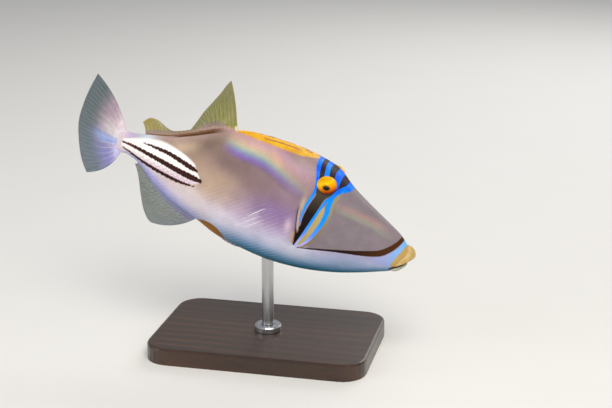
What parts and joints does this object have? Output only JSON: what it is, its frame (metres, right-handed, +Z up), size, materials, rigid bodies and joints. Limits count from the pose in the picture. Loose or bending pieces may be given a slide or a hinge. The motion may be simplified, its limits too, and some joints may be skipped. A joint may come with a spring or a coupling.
{
  "type": "picasso triggerfish display model",
  "caption": "Life-size still model of a picasso triggerfish, swimming nose down, held by one rod on a flat wooden base.",
  "frame": {"origin": "the middle of the underside of the stand's base", "axes": "+X towards the fish's snout, +Z up, the right flank faces -Y"},
  "size_m": [0.2089, 0.086, 0.1594],
  "materials": {
    "fish_skin": "painted scales, satin",
    "fin_membrane": "thin cast membrane with raised rays",
    "tail_membrane": "thin cast membrane with raised rays",
    "yellow_fold": "painted, satin",
    "lip_skin": "painted, satin",
    "eye_gloss": "glossy",
    "stained_wood": "dark stained, satin",
    "brushed_steel": "brushed"
  },
  "bodies": {
    "root": {"head": "fish_skin", "trunk": "fish_skin", "tail_stalk": "fish_skin", "caudal_fin": "tail_membrane", "soft_dorsal_fin": "fin_membrane", "anal_fin": "fin_membrane", "pectoral_fin_right": "fin_membrane", "pectoral_fin_left": "fin_membrane", "spiny_dorsal_fin": "yellow_fold", "pelvic_spine": "fish_skin", "lip_upper": "lip_skin", "lip_lower": "lip_skin", "eye_right": "eye_gloss", "eye_left": "eye_gloss", "stand_base": "stained_wood", "stand_rod": "brushed_steel", "stand_collar": "brushed_steel"}
  },
  "joints": []
}
